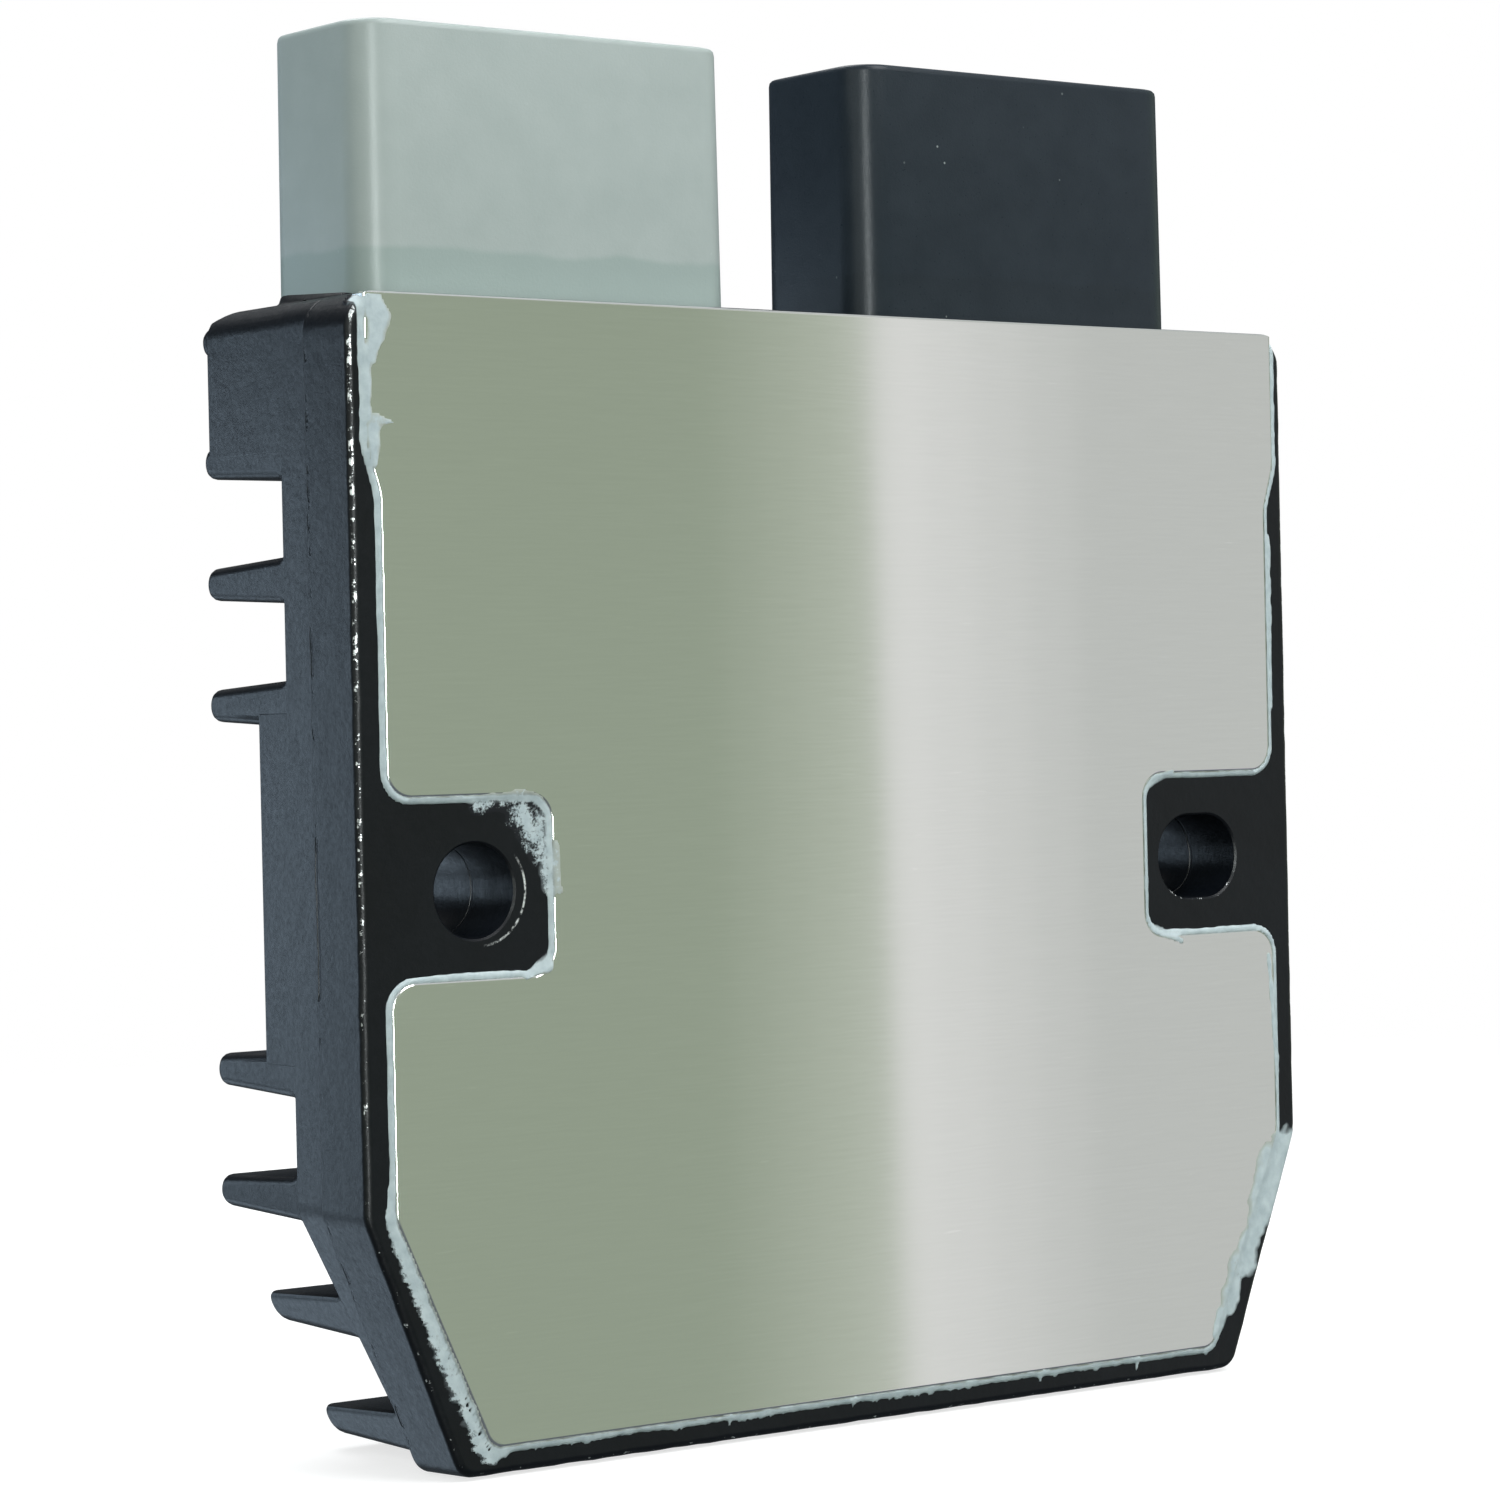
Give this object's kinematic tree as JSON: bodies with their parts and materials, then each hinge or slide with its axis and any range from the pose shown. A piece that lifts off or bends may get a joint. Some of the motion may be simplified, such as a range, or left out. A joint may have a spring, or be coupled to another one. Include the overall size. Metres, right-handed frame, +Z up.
{
  "type": "voltage regulator rectifier",
  "caption": "Finned cast housing with a glued metal base plate, two side mounting holes and two rectangular plug shrouds on its top edge.",
  "frame": {"origin": "on the base plate's outer face, at the height of the two mounting holes and midway between the housing's sides", "axes": "+Z up the housing towards the plug shrouds, +Y from the mounting face back to the fin tips, +X to the right looking at the base plate"},
  "size_m": [0.092, 0.0207, 0.1047],
  "materials": {
    "cast_black": "satin black paint on cast aluminium",
    "brushed_plate": "brushed along its width",
    "sealant": "matt cured sealant",
    "grey_plastic": "fine matt moulded",
    "black_plastic": "fine matt moulded",
    "tinned": "tin plated",
    "copper": "bare copper",
    "film": "smooth film",
    "power_board": "white solder mask",
    "control_board": "green solder mask",
    "resin": "moulded resin",
    "potting": "cast resin",
    "tantalum": "moulded resin"
  },
  "bodies": {
    "root": {"heatsink_housing": "cast_black", "base_plate": "brushed_plate", "plate_sealant": "sealant", "ac_connector_shroud": "grey_plastic", "dc_connector_shroud": "black_plastic", "ac_terminal_1": "tinned", "ac_terminal_2": "tinned", "ac_terminal_3": "tinned", "dc_terminal_1": "tinned", "dc_terminal_2": "tinned", "dc_terminal_3": "tinned", "dc_terminal_4": "tinned", "thermal_film": "film", "power_board": "power_board", "control_board": "control_board", "mosfet_1": "resin", "mosfet_2": "resin", "mosfet_3": "resin", "mosfet_4": "resin", "mosfet_5": "resin", "mosfet_6": "resin", "dc_positive_busbar": "copper", "dc_negative_busbar": "copper", "current_shunt": "copper", "surge_suppressor": "resin", "smoothing_capacitor_1": "tantalum", "smoothing_capacitor_2": "tantalum", "driver_transistor_1": "resin", "driver_transistor_2": "resin", "driver_transistor_3": "resin", "gate_resistor_1": "resin", "gate_resistor_2": "resin", "gate_resistor_3": "resin", "control_ic": "resin", "board_link_1": "tinned", "board_link_2": "tinned", "board_link_3": "tinned", "board_link_4": "tinned", "potting_compound": "potting"}
  },
  "joints": []
}
